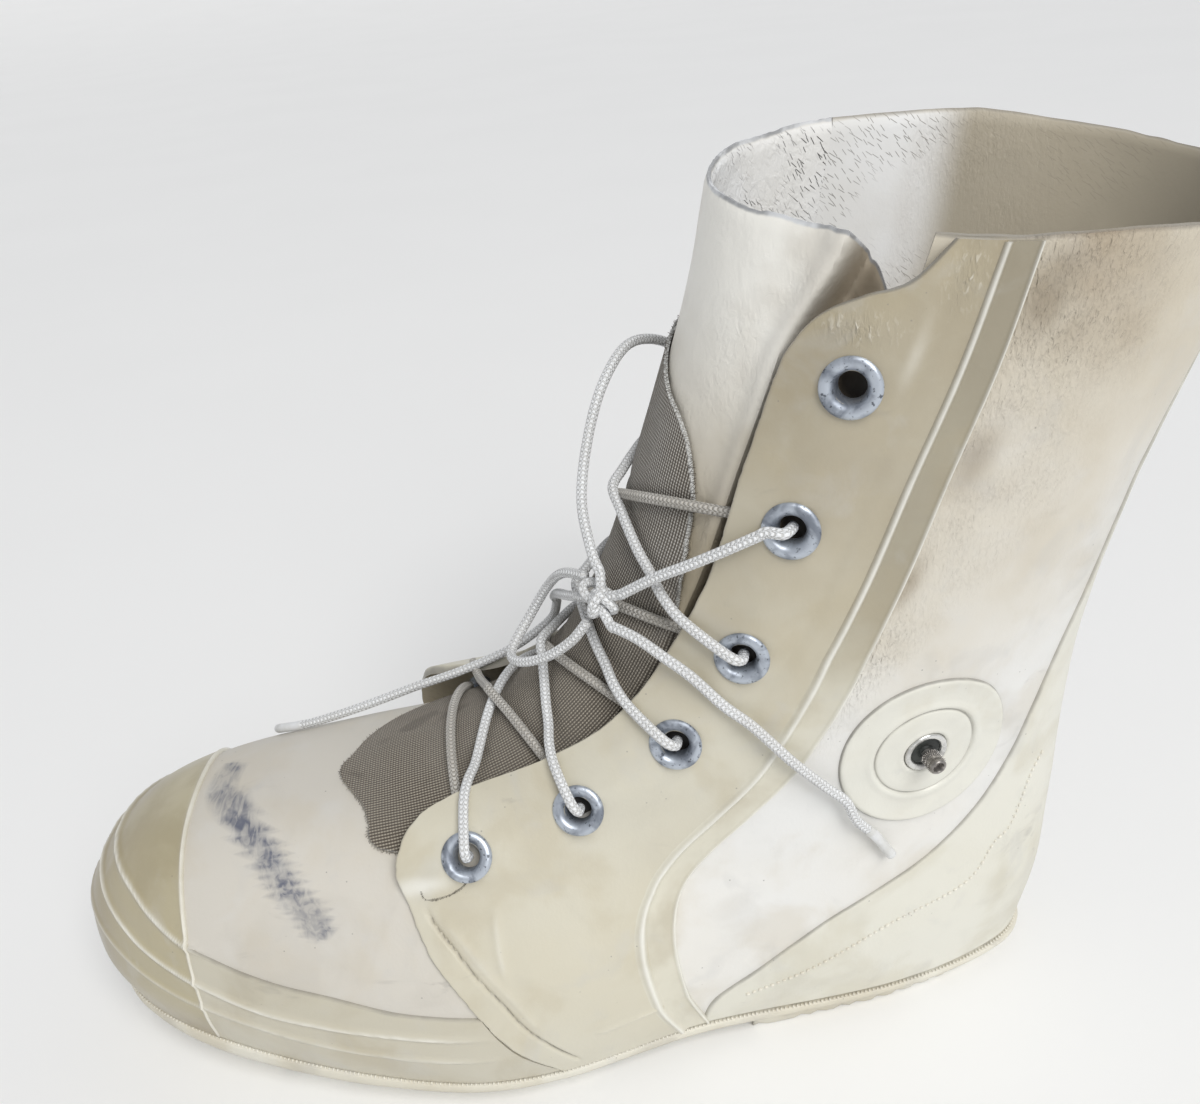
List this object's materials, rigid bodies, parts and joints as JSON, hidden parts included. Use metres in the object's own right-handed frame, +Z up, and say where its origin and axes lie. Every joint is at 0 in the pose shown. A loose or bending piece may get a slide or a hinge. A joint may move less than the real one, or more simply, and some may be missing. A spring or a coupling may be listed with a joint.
{
  "type": "insulated rubber boot",
  "caption": "Tall white rubber cold-weather boot for the left foot, laced over a folded gusset and fabric tongue, with a round air valve patch on its outer side.",
  "frame": {"origin": "on the floor, on the flat underside of the heel, under the middle of the heel seat", "axes": "+X towards the outer side of the foot, -Y towards the toe, +Z up the shaft; the boot stands on its sole"},
  "size_m": [0.1417, 0.3905, 0.2842],
  "materials": {
    "sole": "worn moulded rubber",
    "liner": "plain board",
    "shaft": "warm white, satin, crazed",
    "gusset": "warm white, matt, wrinkled",
    "panel": "cream, soft gloss",
    "foxing": "cream, soft gloss",
    "fabric": "grey-brown twill",
    "metal": "dull zinc",
    "dark_metal": "dark, knurled",
    "lace": "grey-white braid"
  },
  "bodies": {
    "boot": {"outsole": "sole", "insole": "liner", "upper": "shaft", "toe_cap": "foxing", "foxing_lateral": "foxing", "foxing_medial": "foxing", "quarter_strip_lateral": "panel", "quarter_strip_medial": "panel", "heel_counter": "foxing", "eyestay_lateral": "panel", "eyestay_medial": "panel", "gusset": "gusset", "tongue": "fabric", "eyelet_lateral_1": "metal", "eyelet_lateral_2": "metal", "eyelet_lateral_3": "metal", "eyelet_lateral_4": "metal", "eyelet_lateral_5": "metal", "eyelet_lateral_6": "metal", "eyelet_medial_1": "metal", "eyelet_medial_2": "metal", "eyelet_medial_3": "metal", "eyelet_medial_4": "metal", "eyelet_medial_5": "metal", "eyelet_medial_6": "metal", "valve_patch": "panel", "valve_body": "metal", "lace_bar": "lace", "lace_cross_1": "lace", "lace_cross_2": "lace", "lace_cross_3": "lace", "lace_cross_4": "lace", "lace_knot": "lace", "lace_strand_lateral": "lace", "lace_strand_medial": "lace", "lace_loop": "lace", "lace_end_lateral": "lace", "lace_end_medial": "lace"},
    "valve_cap": {"valve_cap": "dark_metal"}
  },
  "joints": [
    {"name": "valve_cap_turn", "type": "hinge", "parent": "boot", "child": "valve_cap", "pos_m": [0.03976, 0.00147, 0.11703], "axis": [0.9745, 0.2165, -0.0588], "range_deg": [0, 180]}
  ]
}
